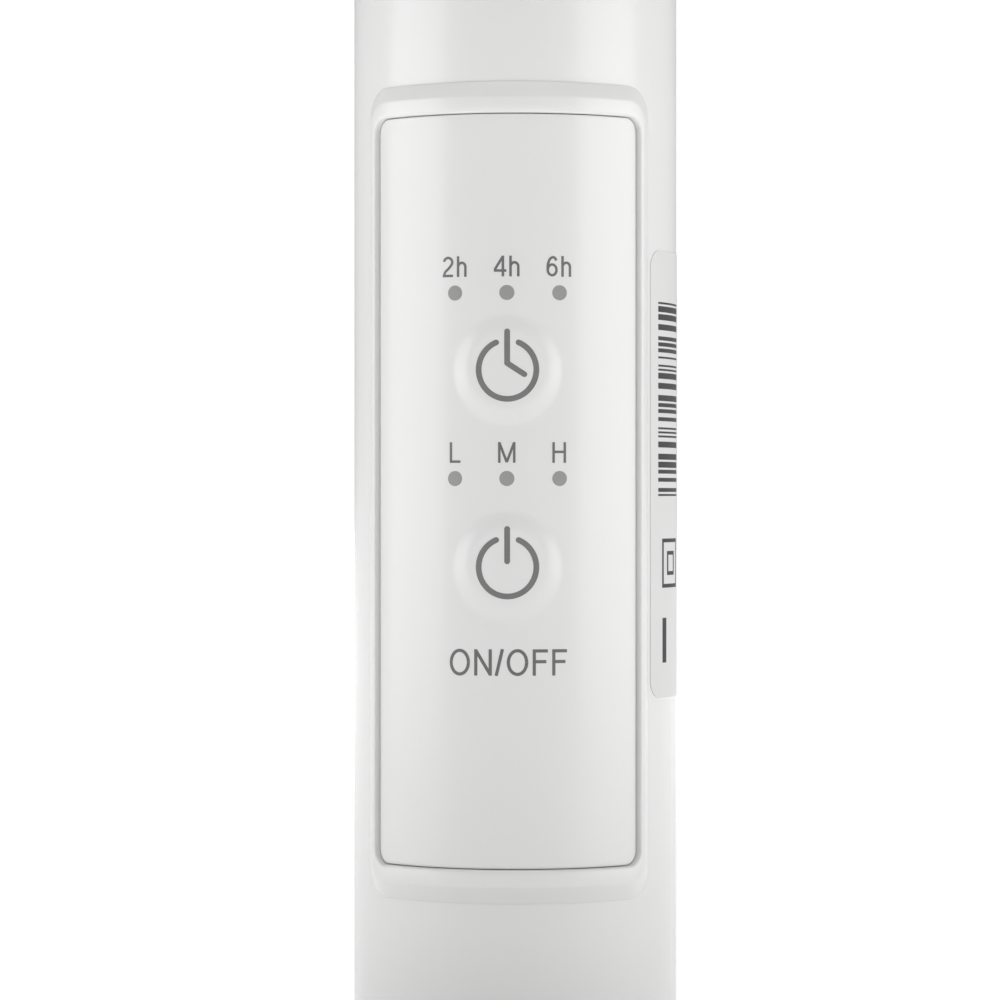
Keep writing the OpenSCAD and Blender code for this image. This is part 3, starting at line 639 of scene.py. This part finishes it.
ICON_STROKE = 1.01
ICON_GAP = 22.8  # degrees from the top to each end of the ring
ICON_RU, ICON_RV = 5.05, 5.24
BAR_U, BAR_TOP = KEY_U - 0.04, 6.80
TIMER_FOOT, POWER_FOOT = 1.15, 1.03  # height of the bar's lower end over the ring's centre
HAND_U, HAND_V = 2.95, -0.85  # where the timer's hand ends, from the ring's centre


def icon(name, mid_v, hand, body):
    """Open ring with a bar in its gap, and for the timer a hand."""
    ring = arc_path(KEY_U, mid_v, ICON_RU, ICON_RV, 90 + ICON_GAP, 450 - ICON_GAP, 90)
    foot = (BAR_U, mid_v + (TIMER_FOOT if hand else POWER_FOOT))
    polygons = round_ended(ring) + round_ended([(BAR_U, mid_v + BAR_TOP), foot])
    if hand:
        tip = (KEY_U + HAND_U, mid_v + HAND_V)
        polygons += [ribbon([foot, tip], ICON_STROKE), disc(*tip, ICON_STROKE / 2)]
    return place(ink(name, polygons, FILM_R + DOME_RISE, ICON), body, "panel_film")


def round_ended(path):
    """Polygons of an icon's stroke along a path, with a round end at both of its ends."""
    return [ribbon(path, ICON_STROKE), disc(*path[0], ICON_STROKE / 2), disc(*path[-1], ICON_STROKE / 2)]


icon("timer_symbol", PANEL_Z + 21.73, True, "timer_button")
icon("power_symbol", PANEL_Z - 13.51, False, "power_button")

# ---------- rating label ----------

LABEL_U0 = R * math.radians(57.7)
LABEL_U1 = R * math.radians(137.0)
label_mid = (LABEL_U0 + LABEL_U1) / 2
label_half = (LABEL_U1 - LABEL_U0) / 2
label_mid_z, label_half_z = (label_low[2] + label_high[2]) / 2, (label_high[2] - label_low[2]) / 2
LABEL_R = R + 0.13
LABEL_CORNER = 3.2
LABEL_RIM = 0.6  # no grid point lies nearer to the label's edge
grid = [(label_mid + a * GRID_U, label_mid_z + b * GRID_V)
        for a in range(-24, 25) for b in range(-19, 20)
        if abs(a * GRID_U) < label_half - LABEL_RIM and abs(b * GRID_V) < label_half_z - LABEL_RIM]
label_points, label_tris = triangulated(
    [outline(label_half, label_half_z, LABEL_CORNER, label_mid_z, label_mid, 48, 40, 8)], grid)
place(slab("rating_label_sheet", label_points, label_tris, lambda u, v: LABEL_R, lambda u, v: R - 0.02, LABEL,
           30), "column", "label_paper", "rating_label")


def bar(u0, v0, u1, v1):
    return [(u0, v0), (u1, v0), (u1, v1), (u0, v1)]


def box_line(u0, v0, u1, v1, w):
    return [bar(u0, v0, u1, v0 + w), bar(u0, v1 - w, u1, v1),
            bar(u0, v0, u0 + w, v1), bar(u1 - w, v0, u1, v1)]


# Plain ruled bars, a doubled square, a plain bar, and dashes in place of lines of words
RULED_FROM, RULED_TO, RULED_W = PANEL_Z - 0.8, PANEL_Z + 35.4, 11.5
BAR_UNIT, SPACE_UNIT = 0.36, 0.38
SQUARE_LINE = 0.7
DASH_TOP, DASH_W, DASH_PITCH, DASH_UNIT = PANEL_Z + 36, 0.6, 1.7, 1.8
DASH_COLUMNS, DASH_COLUMN_PITCH, DASH_COUNT = 3, 7.2, 11

first = LABEL_U0 + 2.7
prints, v, i = [], RULED_FROM, 0
while v < RULED_TO:
    thick = BAR_UNIT * (1 + (i * i + i // 3) % 3)
    prints.append(bar(first, v, first + RULED_W, v + thick))
    v += thick + SPACE_UNIT * (1 + (i * 5 + i // 4) % 3)
    i += 1
prints += box_line(first + 1.6, PANEL_Z - 17.6, first + 10.6, PANEL_Z - 8.6, SQUARE_LINE)
prints += box_line(first + 3.9, PANEL_Z - 15.3, first + 8.3, PANEL_Z - 10.9, SQUARE_LINE)
prints.append(bar(first + 1.75, PANEL_Z - 31.3, first + 3.5, PANEL_Z - 23.1))
for column in range(DASH_COLUMNS):
    for line, length in enumerate((26, 31, 18, 29)):
        if column * 4 + line < DASH_COUNT:
            u0 = first + 14.5 + column * DASH_COLUMN_PITCH + line * DASH_PITCH
            prints.append(bar(u0, DASH_TOP - length * DASH_UNIT, u0 + DASH_W, DASH_TOP))
place(ink("label_print", prints, LABEL_R, LABEL_INK, 0.015), "column", "label_paper")

# ---------- outlet ----------

OUT_Z = (grille_low[2] + grille_high[2]) / 2
OUT_H = (grille_high[2] - grille_low[2]) / 2
out_inner_u = R * math.asin((louvre_high[0] + 0.05) / (R + 0.4))
out_inner_h = (louvre_high[2] - louvre_low[2]) / 2
LOUVRE_PITCH = 5.2
LOUVRES = 52
LOUVRE_HALF = 0.8  # half of a louvre's thickness
UPRIGHTS = (-11, 0, 11)
OPEN_H = OUT_H - 5.5
OUT_DEPTH = 3.0  # how far the surround reaches behind the shell's face
FILLET = 0.8  # this much of the profile next to the opening keeps its shape
out_side = BEZEL_U - out_inner_u
out_end = OUT_H - OPEN_H


def stretched(distance, old_total, new_total):
    """A profile's distance from the opening, spread over a bar of another width."""
    if distance < FILLET:
        return distance
    return FILLET + (distance - FILLET) * (new_total - FILLET) / (old_total - FILLET)


out_profile = [(stretched(side, side_total, out_side), stretched(end, end_total, out_end), r)
               for side, end, r in profile]
out_profile[0] = (0.0, 0.0, R - OUT_DEPTH)
out_profile.append((out_side - 0.6, out_end - 0.6, R - OUT_DEPTH))
place(surround("outlet_surround", out_inner_u, OPEN_H, OPENING_CORNER, OUTER_CORNER, 0, OUT_Z,
               out_profile), "column", "white_gloss", "outlet_frame")


def louvres(name):
    """Round-nosed louvres, each a swept blade, with three uprights behind."""
    h = LOUVRE_HALF
    nose = [(R - 2.7, -h), (R - 0.5, -h)]
    nose += [(R - 0.4 + h * math.cos(math.radians(a)), h * math.sin(math.radians(a)))
             for a in range(-75, 76, 15)]
    nose += [(R - 0.5, h), (R - 2.7, h)]
    steps = 72
    reach = out_inner_u + 0.5
    verts, faces = [], []
    for k in range(LOUVRES):
        z = OUT_Z + (k - (LOUVRES - 1) / 2) * LOUVRE_PITCH
        base = len(verts)
        for i in range(steps + 1):
            a = -reach + 2 * reach * i / steps
            verts += [on_column(a, z + dz, r) for r, dz in nose]
        n = len(nose)
        for i in range(steps):
            for j in range(n):
                m = (j + 1) % n
                here, there = base + i * n, base + (i + 1) * n
                faces.append((here + j, there + j, there + m, here + m))
        faces.append(tuple(base + j for j in range(n)))
        faces.append(tuple(base + steps * n + j for j in reversed(range(n))))
    for x in UPRIGHTS:
        base = len(verts)
        u0, u1 = (R * math.asin((x + d) / (R - 2)) for d in (-0.7, 0.7))
        half = out_inner_h - 0.2
        for z in (OUT_Z - half, OUT_Z + half):
            verts += [on_column(a, z, r) for a, r in
                      ((u0, R - 2.3), (u1, R - 2.3), (u1, R - 1.4), ((u0 + u1) / 2, R - 1.2), (u0, R - 1.4))]
        faces += [tuple(base + i for i in (4, 3, 2, 1, 0)), tuple(base + 5 + i for i in range(5))]
        for i in range(5):
            j = (i + 1) % 5
            faces.append((base + i, base + j, base + 5 + j, base + 5 + i))
    return make_object(name, verts, faces, BEZEL, 40)


place(louvres("outlet_blades"), "column", "white_gloss", "outlet_louvres")

# ---------- camera ----------

LENS = 135  # on a sensor 36 mm wide
distance = 699.4
height = PANEL_Z - 1.54
azimuth = math.radians(2.9)
yaw = math.radians(0.2337)
camera = bpy.data.objects.new("camera", bpy.data.cameras.new("camera"))
bpy.context.scene.collection.objects.link(camera)
camera.data.sensor_width = 36
camera.data.lens = LENS
camera.data.clip_start, camera.data.clip_end = 0.05, 50
camera.location = (distance * math.sin(azimuth) * MM, -distance * math.cos(azimuth) * MM, height * MM)
camera.rotation_euler = (math.pi / 2, 0, azimuth + yaw)
bpy.context.scene.camera = camera

# ---------- floor and light ----------

# Where each part of the floor's painted light starts and ends, in metres from the column, and its strength:
# the floor glows though it is no lamp and lights the column from below, and the lack of glow next to the foot
# is painted shade
FLOOR_PAINTED_LIGHT = ((0.05, 0.13, 0.60), (0.5, 2.0, 0.60))
FLOOR_REACH = 15
AMBIENT = 0.12
AMBIENT_BEHIND = 0.38
BACKDROP = 1.05
SIDE_ANGLE = math.radians(72)  # of the side lights, from the front
SIDE_DISTANCE, SIDE_Z, SIDE_AIM_Z = 1.8, 0.1, 0.05
SIDE_LIGHTS = (("softbox_left", -1, 23.9), ("softbox_right", 1, 23.9 * 1.06))
TOP_W = 15


def painted_light_floor_material():
    """Pale floor with painted light: it glows a little away from the object though it is no lamp, and its
    darker ground next to the foot is painted shade.
    """
    m = material("floor_with_painted_light", (0.90, 0.90, 0.90), 0.8, vary=0.002)
    nodes, links = m.node_tree.nodes, m.node_tree.links
    place_at = nodes.new("ShaderNodeTexCoord")
    away = nodes.new("ShaderNodeVectorMath")
    away.operation = "LENGTH"
    links.new(place_at.outputs["Object"], away.inputs[0])
    parts = []
    for start, end, strength in FLOOR_PAINTED_LIGHT:
        painted_glow = nodes.new("ShaderNodeMapRange")
        painted_glow.interpolation_type = "SMOOTHSTEP"
        painted_glow.inputs["From Min"].default_value = start
        painted_glow.inputs["From Max"].default_value = end
        painted_glow.inputs["To Max"].default_value = strength
        links.new(away.outputs["Value"], painted_glow.inputs["Value"])
        parts.append(painted_glow)
    total = nodes.new("ShaderNodeMath")
    for i, painted_glow in enumerate(parts):
        links.new(painted_glow.outputs["Result"], total.inputs[i])
    shader = nodes["Principled BSDF"]
    # The floor's emission is painted light, strongest away from the column and fading to none near the foot
    # as painted shade
    shader.inputs["Emission Color"].default_value = (1, 1, 1, 1)
    links.new(total.outputs["Value"], shader.inputs["Emission Strength"])
    return m


floor_corners = [(x * FLOOR_REACH, y * FLOOR_REACH, 0) for x, y in ((-1, -1), (1, -1), (1, 1), (-1, 1))]
# Floor carrying the painted light and the painted shade around the foot
floor = make_object("floor_with_painted_light", floor_corners, [(0, 1, 2, 3)], painted_light_floor_material())

world = bpy.data.worlds.new("studio")
world.use_nodes = True
nodes, links = world.node_tree.nodes, world.node_tree.links
ambient = nodes["Background"]
ambient.inputs["Color"].default_value = (1, 1, 1, 1)
direction = nodes.new("ShaderNodeTexCoord")
split = nodes.new("ShaderNodeSeparateXYZ")
links.new(direction.outputs["Generated"], split.inputs["Vector"])
behind = nodes.new("ShaderNodeMapRange")
behind.interpolation_type = "SMOOTHSTEP"
behind.inputs["From Min"].default_value = -0.1
behind.inputs["From Max"].default_value = 0.7
behind.inputs["To Min"].default_value = AMBIENT
behind.inputs["To Max"].default_value = AMBIENT_BEHIND
links.new(split.outputs["Y"], behind.inputs["Value"])
links.new(behind.outputs["Result"], ambient.inputs["Strength"])
backdrop = nodes.new("ShaderNodeBackground")
backdrop.inputs["Color"].default_value = (1, 1, 1, 1)
backdrop.inputs["Strength"].default_value = BACKDROP
path = nodes.new("ShaderNodeLightPath")
mix = nodes.new("ShaderNodeMixShader")
links.new(path.outputs["Is Camera Ray"], mix.inputs["Fac"])
links.new(ambient.outputs["Background"], mix.inputs[1])
links.new(backdrop.outputs["Background"], mix.inputs[2])
links.new(mix.outputs["Shader"], nodes["World Output"].inputs["Surface"])
bpy.context.scene.world = world


def softbox(name, location, target, width, height, watts):
    """Rectangular light aimed at a target, which the camera doesn't see."""
    light = bpy.data.lights.new(name, "AREA")
    light.shape = "RECTANGLE"
    light.size, light.size_y = width, height
    light.energy = watts
    obj = bpy.data.objects.new(name, light)
    bpy.context.scene.collection.objects.link(obj)
    obj.location = location
    obj.rotation_euler = (Vector(target) - Vector(location)).to_track_quat("-Z", "Y").to_euler()
    obj.visible_camera = False
    return obj


for name, side, watts in SIDE_LIGHTS:
    x, y = side * SIDE_DISTANCE * math.sin(SIDE_ANGLE), -SIDE_DISTANCE * math.cos(SIDE_ANGLE)
    softbox(name, (x, y, SIDE_Z), (0, 0, SIDE_AIM_Z), 1.6, 1.9, watts)
softbox("softbox_top", (0, -0.9, 2.7), (0, 0, 0.1), 1.8, 1.6, TOP_W)
bpy.context.scene.view_settings.view_transform = "Standard"
